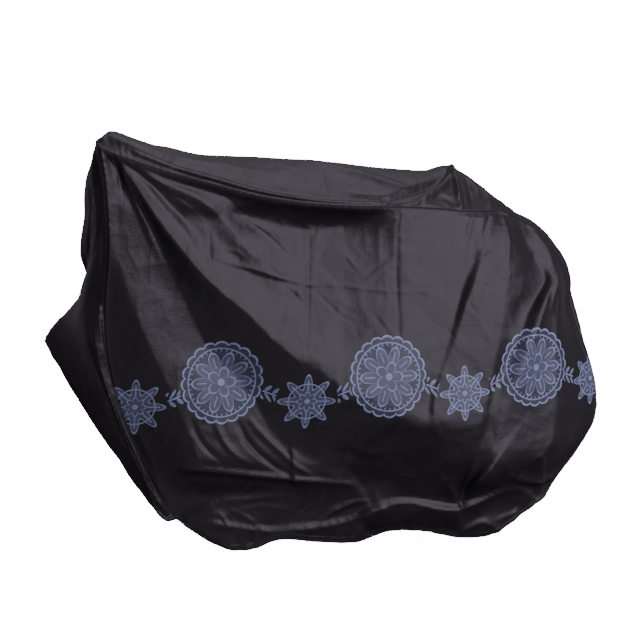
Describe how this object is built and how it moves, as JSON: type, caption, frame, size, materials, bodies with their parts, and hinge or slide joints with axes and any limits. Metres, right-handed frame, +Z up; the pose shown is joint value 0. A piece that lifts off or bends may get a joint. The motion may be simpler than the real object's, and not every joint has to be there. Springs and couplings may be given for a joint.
{
  "type": "bicycle cover",
  "caption": "Fitted bicycle cover of thin dark coated cloth with a printed band, draped and hollow, open along its gathered hem and under its front flap.",
  "frame": {"origin": "on the underside of the cover's top at its rear peak, where what it covers carries it", "axes": "+X runs along the cover from the low front flap to the rear, -Y is the near side with the uneven drape shown, +Z is up"},
  "size_m": [1.5374, 0.53, 1.0968],
  "materials": {
    "panel_cloth": "satin coated nylon, charcoal black, with a pale blue-grey printed band",
    "strip_cloth": "satin coated nylon, charcoal black"
  },
  "bodies": {
    "root": {"near_side_panel": "panel_cloth", "far_side_panel": "panel_cloth", "gusset_strip": "strip_cloth"}
  },
  "joints": []
}
